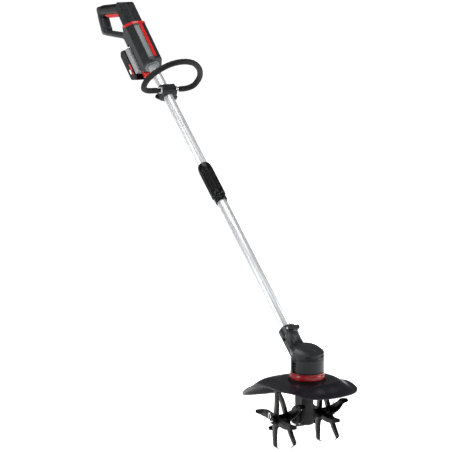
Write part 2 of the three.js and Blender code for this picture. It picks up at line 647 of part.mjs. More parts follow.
function housingHollow() {
  return join(
    block([-20, 103, -31], [20, 145, 20]),
    block([-18, 140, -5], [18, 212, 20]),
    moved(rod('y', TUBE_RADIUS + GAP, HOUSING_STATION - 20, TUBE_HEAD + 4), shaft, rear),
    moved(rod('y', 5, TUBE_HEAD, TUBE_HEAD + 8, 10), shaft, rear),
  );
}

const LOCK_PLACE = [207, 12];
const TRIGGER_PIN = [116, -10];

function bandSolid(outside, inside, slack) {
  const tube = cut(
    alongY(housingSection(outside), BAND_START - slack, BAND_END + slack, 2),
    alongY(housingSection(inside), BAND_START - 5, BAND_END + 5, 2));
  const arch = meet(tube, block([-60, BAND_START - 5, BAND_FOOT - slack], [60, BAND_END + 5, 60]));
  const lean = new THREE.Matrix4().set(
    1, 0, 0, 0,
    0, 1, -BAND_SLANT, BAND_SLANT * HOUSING_ROOF,
    0, 0, 1, 0,
    0, 0, 0, 1);
  return arch.applyMatrix4(lean);
}

function handleShell() {
  const whole = join(housingBody(), moved(handleRing(), tool, rear));
  const stripe = block([-5.3, STRIPE_FOOT - GAP, HOUSING_ROOF - 2], [5.3, BAND_END, 60]);
  const rails = [-1, 1].map((side) => {
    const ends = [side * 17, side * 25.3].sort((a, b) => a - b);
    return block([ends[0], -20, -30], [ends[1], 100, -19.7]);
  });
  const terminal = block([-14.3, 100, -34.5], [14.3, 135, -25]);
  const lock = rod('x', 8, -45, -24, 20).translate(0, ...LOCK_PLACE);
  const lockBore = rod('x', 5.3, -40, -10, 16).translate(0, ...LOCK_PLACE);
  const pivot = rod('x', 2.3, -11.5, 11.5, 12).translate(0, ...TRIGGER_PIN);
  const triggerSlot = moved(join(block([-8.8, 4, -34], [8.8, 127, 5]), pivot), grip, rear);
  const bandSeat = bandSolid(6, -2.4, GAP);
  return cut(whole, housingHollow(), bandSeat, stripe, ...rails, terminal, lock, lockBore, triggerSlot);
}

const shell = handleShell();
addPart(rear, 'handle_shell_left', 'charcoal', meet(shell, block([-60, -50, -250], [-GAP / 2, 400, 100])));
addPart(rear, 'handle_shell_right', 'charcoal', meet(shell, block([GAP / 2, -50, -250], [60, 400, 100])));
addPart(rear, 'red_band', 'red', bandSolid(0.8, -1.8, 0));
addPart(rear, 'top_stripe', 'red',
  block([-5, STRIPE_FOOT, HOUSING_ROOF - 1.6], [5, BAND_START - 1, HOUSING_ROOF + 1]));

// Controls
function trigger() {
  const side = roundedShape([[10, -6], [10, -22], [28, -25], [92, -25], [122, -19], [122, -6]], 3);
  return join(acrossX(side, 8, 1.2, 2), rod('x', 2, -11, 11, 12).translate(0, ...TRIGGER_PIN));
}
addPart(grip, 'trigger', 'red', trigger());
addPart(rear, 'lock_off_button', 'black',
  join(rod('x', 5, -25.5, -15, 16), rod('x', 3, -16, -13, 12)).translate(0, ...LOCK_PLACE));
addPart(rear, 'switch_body', 'black', block([-9, 170, -4.7], [9, 196, 10]));
addPart(rear, 'control_board', 'board', block([-17, 110, 17], [17, 200, 18.6]));
addPart(rear, 'terminal_block', 'black', block([-14, 105.5, -34.2], [14, 134.7, -25.3]));

// Battery: tray, lid with rails, cell pack and latch
function batteryTray() {
  const side = roundedShape([
    [-12, -51], [13, -BATTERY_FLOOR], [106, -BATTERY_FLOOR], [BATTERY_BACK, -68], [104, -47], [4, -47],
  ], 3);
  return cut(acrossX(side, BATTERY_HALF, 1.2, 2), block([-31.5, 18, -75.5], [31.5, 98, -40]));
}

function batteryLid() {
  const side = roundedShape([[6, -46.6], [6, -27], [LID_BACK - 4, -27], [103, -46.6]], 3);
  const rails = [-1, 1].map((side) => {
    const ends = [side * 17.3, side * 25].sort((a, b) => a - b);
    return block([ends[0], 10, -30], [ends[1], 94, -20]);
  });
  const hollow = block([-29, 18, -50], [29, 93, -30.5]);
  return cut(join(acrossX(side, 33, 1, 2), ...rails), hollow);
}
addPart(rear, 'battery_tray', 'black', batteryTray());
addPart(rear, 'battery_lid', 'grey', batteryLid());
addPart(rear, 'battery_cells', 'casting', block([-28.5, 19, -75], [28.5, 92, -31]));

const latchSide = roundedShape([[-13, -43.5], [-13, -39], [-5, -30], [5.5, -30], [5.5, -43.5]], 3);
addPart(rear, 'battery_latch', 'red', acrossX(latchSide, 15, 1, 2));

// The rear grip's middle is the origin
const frame = new THREE.Group();
frame.add(tool);
tool.position.set(0, -(GRIP_FRONT[0] + GRIP_BACK[0]) / 2, -(GRIP_FRONT[1] + GRIP_BACK[1]) / 2);

export default frame;
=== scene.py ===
import json
import math

import bmesh
import bpy
from mathutils import Matrix, Vector
from mathutils.bvhtree import BVHTree


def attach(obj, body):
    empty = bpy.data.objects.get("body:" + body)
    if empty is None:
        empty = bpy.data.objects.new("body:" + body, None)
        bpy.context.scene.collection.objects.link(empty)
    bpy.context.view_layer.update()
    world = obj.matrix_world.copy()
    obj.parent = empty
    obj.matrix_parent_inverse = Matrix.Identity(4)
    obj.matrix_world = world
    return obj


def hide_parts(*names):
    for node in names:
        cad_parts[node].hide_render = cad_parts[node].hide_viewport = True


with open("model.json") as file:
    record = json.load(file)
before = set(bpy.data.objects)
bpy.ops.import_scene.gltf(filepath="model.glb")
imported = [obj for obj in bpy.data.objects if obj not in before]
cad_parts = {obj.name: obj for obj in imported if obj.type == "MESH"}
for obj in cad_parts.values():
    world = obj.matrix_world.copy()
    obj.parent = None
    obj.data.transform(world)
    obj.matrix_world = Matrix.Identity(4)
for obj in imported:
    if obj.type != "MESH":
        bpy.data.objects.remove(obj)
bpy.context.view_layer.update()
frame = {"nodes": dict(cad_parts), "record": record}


# Frames: each turns millimetres in one local frame of the CAD into the row frame in metres
def shift(x, y, z):
    return Matrix.Translation((x, y, z))


def turn(degrees):
    return Matrix.Rotation(math.radians(degrees), 4, "X")


MM = 0.001
AXLE_HEIGHT = 77.5
HOUSING_STATION = 988
BRACKET_STATION = 874
GRIP_FRONT = (1005, 1081.5)
GRIP_BACK = (1161, 1064)
GRIP_RISE = math.degrees(math.atan2(GRIP_BACK[1] - GRIP_FRONT[1], GRIP_BACK[0] - GRIP_FRONT[0]))
TOOL = Matrix.Scale(MM, 4) @ shift(
    0, -(GRIP_FRONT[0] + GRIP_BACK[0]) / 2, -(GRIP_FRONT[1] + GRIP_BACK[1]) / 2
)
MOTOR = TOOL @ shift(0, -20, 0)
AXLE = TOOL @ shift(0, 0, AXLE_HEIGHT)
SHAFT = TOOL @ shift(0, 81, 292) @ turn(40)
REAR = SHAFT @ shift(0, HOUSING_STATION, 0) @ turn(2.65)
LOOP = SHAFT @ shift(0, BRACKET_STATION, 12) @ turn(7)
BRACKET = SHAFT @ shift(0, BRACKET_STATION, 0)
GRIP = TOOL @ shift(0, *GRIP_FRONT) @ turn(GRIP_RISE)


scene = bpy.context.scene


# Materials: one builder per family, each with its own grain, wear and roughness
class Nodes:
    """A material's node tree with short calls for the few node types used here."""

    def __init__(self, name):
        self.material = bpy.data.materials.new(name)
        self.material.use_nodes = True
        self.tree = self.material.node_tree
        self.shader = self.tree.nodes["Principled BSDF"]
        self.place = self.add("ShaderNodeTexCoord").outputs["Object"]

    def add(self, kind, **settings):
        node = self.tree.nodes.new(kind)
        for key, value in settings.items():
            setattr(node, key, value)
        return node

    def link(self, source, target):
        self.tree.links.new(source, target)

    def stretched(self, scale, rotation):
        """The place turned by some degrees and then scaled along the turned axes."""
        turned = self.add("ShaderNodeMapping")
        turned.inputs["Rotation"].default_value = [math.radians(a) for a in rotation]
        self.link(self.place, turned.inputs["Vector"])
        scaled = self.add("ShaderNodeMapping")
        scaled.inputs["Scale"].default_value = scale
        self.link(turned.outputs["Vector"], scaled.inputs["Vector"])
        return scaled.outputs["Vector"]

    def noise(self, scale, detail, vector=None, roughness=0.55):
        node = self.add("ShaderNodeTexNoise")
        node.inputs["Scale"].default_value = scale
        node.inputs["Detail"].default_value = detail
        node.inputs["Roughness"].default_value = roughness
        self.link(vector or self.place, node.inputs["Vector"])
        return node.outputs["Fac"]

    def cells(self, scale, feature="F1", vector=None):
        node = self.add("ShaderNodeTexVoronoi", feature=feature)
        node.inputs["Scale"].default_value = scale
        self.link(vector or self.place, node.inputs["Vector"])
        return node.outputs["Distance"]

    def spread(self, value, low, high, start=0.3, end=0.7):
        node = self.add("ShaderNodeMapRange")
        node.inputs["From Min"].default_value = start
        node.inputs["From Max"].default_value = end
        node.inputs["To Min"].default_value = low
        node.inputs["To Max"].default_value = high
        self.link(value, node.inputs["Value"])
        return node.outputs["Result"]

    def math(self, operation, first, second):
        node = self.add("ShaderNodeMath", operation=operation)
        for socket, value in zip(node.inputs, (first, second)):
            if isinstance(value, (int, float)):
                socket.default_value = value
            else:
                self.link(value, socket)
        return node.outputs["Value"]

    def mix(self, share, first, second):
        node = self.add("ShaderNodeMix", data_type="RGBA")
        self.link(share, node.inputs["Factor"])
        for socket, value in ((node.inputs[6], first), (node.inputs[7], second)):
            if isinstance(value, (tuple, list)):
                socket.default_value = (*value, 1)
            else:
                self.link(value, socket)
        return node.outputs[2]

    def bump(self, height, depth, strength, before=None):
        node = self.add("ShaderNodeBump")
        node.inputs["Strength"].default_value = strength
        node.inputs["Distance"].default_value = depth
        self.link(height, node.inputs["Height"])
        if before is not None:
            self.link(before, node.inputs["Normal"])
        return node.outputs["Normal"]

    def finish(self, colour, rough, normal, **fixed):
        """Sets the shader's inputs, from other nodes' outputs or as plain numbers."""
        wanted = {"Base_Color": colour, "Roughness": rough, "Normal": normal, **fixed}
        for name, value in wanted.items():
            socket = self.shader.inputs[name.replace("_", " ")]
            if isinstance(value, (int, float)):
                socket.default_value = value
            else:
                self.link(value, socket)
        return self.material


def shade(colour, factor):
    return tuple(min(1, channel * factor) for channel in colour)


def moulded(name, colour, rough, grain=0.00006, grain_scale=2600, **fixed):
    """Moulded plastic: fine spark-eroded grain, flow marks, dusty pores and a few rubbed spots."""
    n = Nodes(name)
    flow = n.noise(scale=14, detail=4)
    speck = n.noise(scale=420, detail=2)
    rubbed = n.noise(scale=55, detail=5, roughness=0.7)
    body = n.mix(n.spread(flow, 0, 1), shade(colour, 0.88), shade(colour, 1.14))
    dusted = n.mix(n.spread(speck, 0, 0.35, start=0.58, end=0.8), body, shade(colour, 1.7))
    gloss = n.math("ADD", n.spread(rubbed, rough - 0.07, rough + 0.07), n.spread(speck, -0.02, 0.02))
    normal = n.bump(n.cells(grain_scale), depth=grain, strength=0.55)
    normal = n.bump(flow, depth=0.0003, strength=0.12, before=normal)
    return n.finish(dusted, gloss, normal, **fixed)


def brushed(name, colour, rough, scale, rotation, metallic=1.0, lines=0.00002):
    """Drawn or turned metal: long fine lines along one direction, soft stains and a few scratches."""
    n = Nodes(name)
    line = n.noise(scale=1, detail=4, vector=n.stretched(scale, rotation), roughness=0.7)
    stain = n.noise(scale=9, detail=4)
    scratch = n.cells(38, "DISTANCE_TO_EDGE", n.stretched((1, 0.2, 1), rotation))
    body = n.mix(n.spread(line, 0, 1, start=0.35, end=0.65), shade(colour, 0.93), shade(colour, 1.04))
    stained = n.mix(n.spread(stain, 0, 0.4, start=0.5, end=0.75), body, shade(colour, 0.86))
    gloss = n.math("ADD", n.spread(line, rough - 0.06, rough + 0.08), n.spread(stain, -0.03, 0.05))
    cut = n.spread(scratch, 1, 0, start=0, end=0.004)
    normal = n.bump(line, depth=lines, strength=0.4)
    normal = n.bump(cut, depth=0.00003, strength=0.25, before=normal)
    return n.finish(stained, gloss, normal, Metallic=metallic)


def painted(name, colour):
    """Black paint on steel, worn through to bright metal where the attribute wear is high."""
    soil_colour = (0.008, 0.006, 0.005)
    primer_colour = (0.03, 0.027, 0.027)
    metal_colour = (0.34, 0.33, 0.33)
    n = Nodes(name)
    wear = n.add("ShaderNodeAttribute", attribute_name="wear").outputs["Fac"]
    patch = n.noise(scale=160, detail=5, roughness=0.7)
    fleck = n.noise(scale=900, detail=3)
    edge = n.math("ADD", wear, n.math("MULTIPLY", n.math("SUBTRACT", patch, 0.5), 0.9))
    bare = n.spread(edge, 0, 1, start=0.62, end=0.78)
    chips = n.spread(n.noise(scale=70, detail=6, roughness=0.75), 0, 0.45, start=0.68, end=0.74)
    soil = n.spread(n.noise(scale=24, detail=4), 0, 0.5, start=0.5, end=0.75)
    chipped = n.mix(chips, n.mix(soil, colour, soil_colour), primer_colour)
    body = n.mix(bare, chipped, metal_colour)
    normal = n.bump(fleck, depth=0.00012, strength=0.35)
    normal = n.bump(bare, depth=0.0001, strength=0.3, before=normal)
    metallic = n.math("MULTIPLY", bare, 0.9)
    return n.finish(body, n.spread(fleck, 0.2, 0.34), normal, Metallic=metallic, Specular_IOR_Level=0.1)


def cast(name, colour):
    """Painted casting: a sandy skin with soft stains."""
    n = Nodes(name)
    sand = n.noise(scale=1500, detail=4, roughness=0.7)
    stain = n.noise(scale=18, detail=5)
    body = n.mix(n.spread(sand, 0, 1), shade(colour, 0.86), shade(colour, 1.12))
    stained = n.mix(n.spread(stain, 0, 0.5, start=0.5, end=0.75), body, shade(colour, 0.72))
    normal = n.bump(sand, depth=0.00016, strength=0.45)
    return n.finish(stained, n.spread(stain, 0.34, 0.48), normal, Specular_IOR_Level=0.14)


def foamed(name, colour):
    """Closed-cell foam: tiny skinned cells, a dry sheen and a little dust."""
    n = Nodes(name)
    soft = n.noise(scale=130, detail=4)
    dust = n.noise(scale=30, detail=4)
    body = n.mix(n.spread(soft, 0, 1), shade(colour, 0.8), shade(colour, 1.25))
    dusted = n.mix(n.spread(dust, 0, 0.3, start=0.5, end=0.8), body, shade(colour, 2.2))
    normal = n.bump(n.cells(1500), depth=0.00022, strength=0.7)
    normal = n.bump(soft, depth=0.0005, strength=0.25, before=normal)
    return n.finish(dusted, n.spread(soft, 0.5, 0.66), normal, Specular_IOR_Level=0.14,
                    Sheen_Weight=0.01, Sheen_Roughness=0.5)


def banded(name, colour, other, scale, rotation, rough, metallic):
    """Fine bands, for copper windings or the traces of a board."""
    n = Nodes(name)
    wave = n.add("ShaderNodeTexWave", wave_type="BANDS", bands_direction="Z")
    wave.inputs["Scale"].default_value = scale
    wave.inputs["Distortion"].default_value = 1.5
    n.link(n.stretched((1, 1, 1), rotation), wave.inputs["Vector"])
    bands = wave.outputs["Fac"]
    body = n.mix(n.spread(bands, 0, 1, start=0.4, end=0.6), colour, other)
    gloss = n.spread(n.noise(scale=300, detail=3), rough - 0.08, rough + 0.08)
    return n.finish(body, gloss, n.bump(bands, depth=0.0002, strength=0.6), Metallic=metallic)


ACROSS = (0, 0, 0)
ALONG_SHAFT = (-40, 0, 0)
ALONG_BOARD = (-42, 0, 0)
LOOKS = {
    "charcoal": moulded("charcoal_plastic", (0.0125, 0.0136, 0.0146), 0.31, Specular_IOR_Level=0.17),
    "black": moulded("black_plastic", (0.0025, 0.0025, 0.0028), 0.27, Specular_IOR_Level=0.13),
    "red": moulded("red_plastic", (0.37, 0.008, 0.007), 0.34, 0.00003, Specular_IOR_Level=0.3),
    "collar_red": moulded("dark_red_plastic", (0.20, 0.002, 0.004), 0.24, 0.00001, Specular_IOR_Level=0.3),
    "guard": moulded("guard_plastic", (0.0060, 0.0054, 0.0078), 0.30, 0.00004, Specular_IOR_Level=0.15),
    "tine_paint": painted("worn_black_paint", (0.0016, 0.0013, 0.0014)),
    "tube": brushed("satin_tube", (0.47, 0.48, 0.49), 0.36, (900, 12, 900), ALONG_SHAFT, 0.5, 0.000003),
    "steel": brushed("bright_steel", (0.62, 0.63, 0.64), 0.24, (60, 3200, 3200), ACROSS),
    "casting": cast("cast_grey", (0.013, 0.012, 0.013)),
    "foam": foamed("black_foam", (0.0036, 0.0036, 0.0034)),
    "grey": moulded("grey_plastic", (0.17, 0.17, 0.18), 0.36),
    "copper": banded("copper_windings", (0.60, 0.26, 0.13), (0.24, 0.10, 0.05), 260, ACROSS, 0.35, 0.9),
    "board": banded("circuit_board", (0.02, 0.12, 0.05), (0.05, 0.22, 0.09), 60, ALONG_BOARD, 0.4, 0.0),
    "bronze": brushed("cut_bronze", (0.55, 0.38, 0.16), 0.3, (60, 3000, 3000), ACROSS),
    "rubber": moulded("black_rubber", (0.012, 0.012, 0.012), 0.62, 0.00009, 1800),
    "cells": moulded("cell_wrap", (0.04, 0.13, 0.32), 0.25, 0.00002, Coat_Weight=0.3),
}
WHITE_PRINT = moulded("white_print", (0.72, 0.70, 0.68), 0.34, 0.00002)
# Light grey for the front ring and for the left facet strip, where the grey is a painted highlight.
GREY_TRIM_AND_PAINTED_HIGHLIGHT = moulded("grey_trim_and_painted_highlight", (0.085, 0.100, 0.102), 0.36, 0.00003, Specular_IOR_Level=0.3)
# Near-black for the vent floors and the ring under the collar: painted shade where those recesses lie in
# shadow.
PAINTED_SHADE = moulded("painted_recess_shade", (0.002, 0.002, 0.002), 0.6, Specular_IOR_Level=0.05)
SLOT_OF = {part["node"]: part["material_slot"] for part in frame["record"]["subparts"]}
BODY_OF = {
    node: body for body, nodes in frame["record"]["behaviour"]["bodies"].items() for node in nodes
}

for node, part in frame["nodes"].items():
    part.data.materials.clear()
    part.data.materials.append(LOOKS[SLOT_OF[node]])


# Mesh builders: shapes are in millimetres of a local frame until a matrix places them
EDGE_PARTS = 2.05


def soften(points, radius, steps, closed=True):
    """Rounds the corners of a 2-D outline; a radius may be given for each corner.

    A corner takes a little less than half of each of its edges at most.
    """
    count = len(points)
    result = []
    for i, point in enumerate(points):
        size = radius[i] if isinstance(radius, (list, tuple)) else radius
        if size <= 0 or (not closed and i in (0, count - 1)):
            result.append(Vector(point))
            continue
        here, before, after = (Vector(points[k % count]) for k in (i, i - 1, i + 1))
        reach = min(size, (before - here).length / EDGE_PARTS, (after - here).length / EDGE_PARTS)
        start = here.lerp(before, reach / (before - here).length)
        end = here.lerp(after, reach / (after - here).length)
        for k in range(steps + 1):
            t = k / steps
            result.append(start.lerp(here, t).lerp(here.lerp(end, t), t))
    return result


def loft(rings, cyclic=False, caps=True):
    """Verts and faces through rings of points; a ring of one point is a pole."""
    verts = []
    starts = []
    for ring in rings:
        starts.append((len(verts), len(ring)))
        verts.extend(Vector(p) for p in ring)
    faces = []
    pairs = list(zip(starts, starts[1:])) + ([(starts[-1], starts[0])] if cyclic else [])
    for (a, na), (b, nb) in pairs:
        count = max(na, nb)
        for i in range(count):
            j = (i + 1) % count
            corners = [a + (i if na > 1 else 0), a + (j if na > 1 else 0)]
            corners += [b + (j if nb > 1 else 0), b + (i if nb > 1 else 0)]
            faces.append([c for k, c in enumerate(corners) if c not in corners[:k]])
    if caps and not cyclic:
        for (a, na), flip in ((starts[0], True), (starts[-1], False)):
            if na > 2:
                faces.append([a + (na - 1 - i if flip else i) for i in range(na)])
    return verts, faces


NEARLY_AXIS = 1e-6


def circle_of(radius, sides):
    """Points round a circle; a radius of nought gives the single point of a pole."""
    if radius < NEARLY_AXIS:
        return [(0.0, 0.0)]
    return [
        (radius * math.cos(2 * math.pi * i / sides), radius * math.sin(2 * math.pi * i / sides))
        for i in range(sides)
    ]


def lathe(profile, axis, sides):
    """A profile of (radius, height) turned about an axis; one that starts on the axis stays open."""
    place = {
        "x": lambda a, b, height: (height, a, b),
        "y": lambda a, b, height: (b, height, a),
        "z": lambda a, b, height: (a, b, height),
    }[axis]
    rings = [[place(a, b, height) for a, b in circle_of(radius, sides)] for radius, height in profile]
    return loft(rings, cyclic=profile[0][0] > NEARLY_AXIS, caps=False)


def lathe_cup(outer, inner, sides):
    """A cup about z: outer runs from the rim to the axis, and inner from the axis towards the rim."""
    outside, inside = (
        [[(a, b, height) for a, b in circle_of(radius, sides)] for radius, height in profile]
        for profile in (outer, inner)
    )
    return joined(loft(outside, caps=False), loft(inside + outside[:1], caps=False))


def evenly(line, steps):
    """Points at even distances along a line of closer ones."""
    lengths = [0.0]
    for p, q in zip(line, line[1:]):
        lengths.append(lengths[-1] + (q - p).length)
    result = []
    k = 0
    for i in range(steps + 1):
        wanted = lengths[-1] * i / steps
        while k < len(line) - 2 and lengths[k + 1] < wanted:
            k += 1
        span = max(lengths[k + 1] - lengths[k], 1e-9)
        result.append(line[k].lerp(line[k + 1], (wanted - lengths[k]) / span))
    return result


def catmull(points, steps):
    """Points along a smooth curve through the given ones, evenly spaced."""
    between = 24
    points = [Vector(p) for p in points]
    dense = []
    padded = [2 * points[0] - points[1]] + points + [2 * points[-1] - points[-2]]
    for a, b, c, d in zip(padded, padded[1:], padded[2:], padded[3:]):
        for k in range(between):
            t = k / between
            dense.append(0.5 * ((2 * b) + (c - a) * t + (2 * a - 5 * b + 4 * c - d) * t * t
                                + (3 * b - a - 3 * c + d) * t ** 3))
    dense.append(points[-1])
    return evenly(dense, steps)


def sweep(path, section, up):
    """A section, a function of the share along the path, carried along a path that lies across up."""
    rings = []
    up = Vector(up)
    last = len(path) - 1
    for i, point in enumerate(path):
        tangent = (path[min(i + 1, last)] - path[max(i - 1, 0)]).normalized()
        side = tangent.cross(up).normalized()
        upward = side.cross(tangent).normalized()
        rings.append([point + side * a + upward * b for a, b in section(i / last)])
    return loft(rings)


def prism(outline, low, high, axis):
    """A closed 2-D outline made solid from low to high along x or z."""
    return loft([
        [(at, a, b) if axis == "x" else (a, b, at) for a, b in outline]
        for at in (low, high)
    ])


def joined(*shapes):
    verts, faces = [], []
    for more_verts, more_faces in shapes:
        base = len(verts)
        verts += more_verts
        faces += [[base + i for i in face] for face in more_faces]
    return verts, faces


def moved(shape, matrix):
    return [matrix @ Vector(v) for v in shape[0]], shape[1]


def clean(mesh, merge=1e-7, dissolve=None):
    """Merges doubled vertices, dissolves flats within some degrees if asked, and turns faces out."""
    work = bmesh.new()
    work.from_mesh(mesh)
    bmesh.ops.remove_doubles(work, verts=work.verts, dist=merge)
    if dissolve is not None:
        limit = math.radians(dissolve)
        bmesh.ops.dissolve_limit(work, angle_limit=limit, verts=work.verts, edges=work.edges)
    bmesh.ops.recalc_face_normals(work, faces=work.faces)
    work.to_mesh(mesh)
    work.free()


def mesh_object(name, shape, matrix):
    mesh = bpy.data.meshes.new(name)
    verts, faces = moved(shape, matrix)
    mesh.from_pydata(verts, [], faces)
    clean(mesh)
    obj = bpy.data.objects.new(name, mesh)
    scene.collection.objects.link(obj)
    return obj


def apply_all(obj):
    depsgraph = bpy.context.evaluated_depsgraph_get()
    result = bpy.data.meshes.new_from_object(obj.evaluated_get(depsgraph))
    obj.modifiers.clear()
    old = obj.data
    obj.data = result
    result.name = obj.name
    bpy.data.meshes.remove(old)


def rounded(obj, width, sharp):
    modifier = obj.modifiers.new("edges", "BEVEL")
    modifier.width = width * MM
    modifier.segments = 3
    modifier.limit_method = "ANGLE"
    modifier.angle_limit = math.radians(sharp)
    modifier.use_clamp_overlap = False
    apply_all(obj)


SMOOTH_MARGIN = 8


def dress(obj, look, body, replaces=(), slot=None, sharp=32, weighted=False):
    """Material, shading, body and replaced nodes of a finished piece."""
    material = LOOKS[look] if isinstance(look, str) else look
    if not obj.data.materials:
        obj.data.materials.append(material)
    obj.data.shade_smooth()
    obj.data.set_sharp_from_angle(angle=math.radians(sharp + SMOOTH_MARGIN))
    if weighted:
        normals = obj.modifiers.new("normals", "WEIGHTED_NORMAL")
        normals.keep_sharp = True
        apply_all(obj)
    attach(obj, body)
    if replaces:
        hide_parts(*replaces)
    return obj


def made(name, shape, matrix, look, body, replaces=(), **options):
    return dress(mesh_object(name, shape, matrix), look, body, replaces, **options)


def refined(node, bevel, sharp):
    """The CAD node's own shape with its flats merged and its edges rounded, as far as no edge strays."""
    look, body = SLOT_OF[node], BODY_OF[node]
    mesh = frame["nodes"][node].data.copy()
    mesh.materials.clear()
    clean(mesh, merge=2e-6, dissolve=1.0)
    work = bmesh.new()
    work.from_mesh(mesh)
    surface = BVHTree.FromBMesh(work)
    work.free()
    for share in (1, 0.7, 0.5, 0.35, 0.2, 0):
        obj = bpy.data.objects.new(node + "_piece", mesh.copy())
        scene.collection.objects.link(obj)
        if share:
            rounded(obj, bevel * share, sharp)
        stray = (1.2 * bevel * share + 0.01) * MM
        if all(surface.find_nearest(vertex.co)[3] < stray for vertex in obj.data.vertices):
            break
        if share:
            bpy.data.objects.remove(obj)
    return dress(obj, look, body, (node,), sharp=sharp, weighted=True)


def screw(name, place, radius, body, look="steel", depth=1.6):
    """A pan head with a six-lobed recess; it looks along the place's own +Z."""
    lobed = 0.14

    def ring(size, height, lobe=0.0):
        points = []
        for i in range(36):
            angle = 2 * math.pi * i / 36
            reach = size * (1 + lobe * math.cos(6 * angle))
            points.append((reach * math.cos(angle), reach * math.sin(angle), height))
        return points

    rings = [
        ring(radius, -1.5),
        ring(radius, 0.15),
        ring(radius * 0.93, depth * 0.55),
        ring(radius * 0.74, depth * 0.92),
        ring(radius * 0.5, depth, lobed),
        ring(radius * 0.44, depth - 0.3, lobed),
        ring(radius * 0.42, depth - 1.4, lobed),
        [(0, 0, depth - 1.5)],
    ]
    made(name, loft(rings), place, look, body)


def aimed(matrix, position, direction):
    """A frame at a position of another frame, with +Z along a direction of it."""
    turned = Vector(direction).normalized().to_track_quat("Z", "Y").to_matrix().to_4x4()
    return matrix @ shift(*position) @ turned


# Camera, lights and floor, in metres of the row frame
camera_data = bpy.data.cameras.new("camera")
camera = bpy.data.objects.new("camera", camera_data)
scene.collection.objects.link(camera)
camera.location = (-2.6646, -5.2942, 0.43335)
camera.rotation_euler = [math.radians(a) for a in (79.5, 0, -30)]
camera_data.lens = 156.1
camera_data.sensor_width = 36
camera_data.clip_end = 60
scene.camera = camera

scene.view_settings.view_transform = "Standard"
scene.view_settings.look = "None"
world = bpy.data.worlds.new("studio")
world.use_nodes = True
sky = world.node_tree.nodes["Background"]
sky.inputs["Color"].default_value = (0.96, 0.98, 1, 1)
sky.inputs["Strength"].default_value = 0.15
scene.world = world

MIDDLE = (0, -0.55, -0.5)


def softbox(name, place, size, power):
    """A rectangular lamp that looks at the middle of the tool."""
    data = bpy.data.lights.new(name, "AREA")
    data.shape = "RECTANGLE"
    data.size, data.size_y = size
    data.energy = power
    lamp = bpy.data.objects.new(name, data)
    lamp.location = place
    lamp.rotation_euler = (Vector(MIDDLE) - Vector(place)).to_track_quat("-Z", "Y").to_euler()
    scene.collection.objects.link(lamp)


sun_data = bpy.data.lights.new("sun", "SUN")
sun_data.energy = 0.75
sun_data.angle = math.radians(28)
sun = bpy.data.objects.new("sun", sun_data)
sun.rotation_euler = [math.radians(a) for a in (22, -12, 0)]
scene.collection.objects.link(sun)
softbox("right_strip", (2.6, -2.4, 0.5), (0.5, 2.6), 120)
softbox("left_strip", (-3.4, -0.6, 0.7), (0.5, 2.6), 110)
softbox("top_light", (-0.4, 0.6, 2.6), (1.6, 2.6), 90)


def white_floor():
    """A floor that shines a little, so that it comes out white all round the tool."""
    top, thickness, half = -1.0835, 0.0065, 40
    n = Nodes("floor")
    colour = n.mix(n.spread(n.noise(scale=3, detail=3), 0, 1), (0.90, 0.90, 0.90), (0.915, 0.915, 0.915))
    n.finish(colour, 0.8, n.bump(n.noise(scale=900, detail=2), depth=0.0001, strength=0.1))
    n.shader.inputs["Emission Color"].default_value = (1, 1, 1, 1)
    n.shader.inputs["Emission Strength"].default_value = 0.72
    square = [(-half, -half), (half, -half), (half, half), (-half, half)]
    floor = mesh_object("floor", prism(square, top - thickness, top, "z"), Matrix.Identity(4))
    floor.data.materials.append(n.material)


white_floor()


# Digging head: motor housing, cap, collar and socket
HOUSING_RADIUS = 44
VENT_ANGLES = (182, 358)


def sunk(obj, chosen, depth, matrix, look):
    """Pushes the chosen faces of a turned piece towards its axis, with a floor in painted shade."""
    work = bmesh.new()
    work.from_mesh(obj.data)
    obj.data.materials.append(look)
    back = matrix.inverted()
    faces = [f for f in work.faces if chosen(back @ f.calc_center_median())]
    for item in bmesh.ops.extrude_face_region(work, geom=faces)["geom"]:
        if isinstance(item, bmesh.types.BMVert):
            place = back @ item.co
            inward = 1 - depth / math.hypot(place.x, place.y)
            item.co = matrix @ Vector((place.x * inward, place.y * inward, place.z))
        elif isinstance(item, bmesh.types.BMFace):
            item.material_index = 1
    bmesh.ops.recalc_face_normals(work, faces=work.faces)
    work.to_mesh(obj.data)
    work.free()


def motor_housing():
    """A can with a groove under the cap and four rows of vents on each side."""
    vents = [(206 + 7 * row, 210.2 + 7 * row) for row in range(4)]
    wall = [(9, 187), (39.6, 187), (39.6, 201.3), (43.4, 201.3), (HOUSING_RADIUS, 202.2)]
    wall += [(HOUSING_RADIUS, height) for vent in vents for height in vent]
    wall += [(HOUSING_RADIUS, 236.8), (43.2, 237.4), (42.4, 237.6), (42.4, 241.2), (42, 242),
             (41, 242), (41, 204), (36.6, 204), (36.6, 190), (9, 190)]
    housing = mesh_object("motor_housing_shell", lathe(wall, "z", 144), MOTOR)
    housing.data.materials.append(LOOKS["charcoal"])

    def in_vent(place):
        angle = math.degrees(math.atan2(place.y, place.x))
        beside = min(abs((angle - middle + 180) % 360 - 180) for middle in VENT_ANGLES) < 11
        level = any(low < place.z < high for low, high in vents)
        return beside and level and math.hypot(place.x, place.y) > HOUSING_RADIUS - 0.5

    # The vent floors take the near-black material as painted shade inside the slots.
    sunk(housing, in_vent, 2.8, MOTOR, PAINTED_SHADE)
    dress(housing, "charcoal", "digging_head", ("motor_housing",), sharp=34)


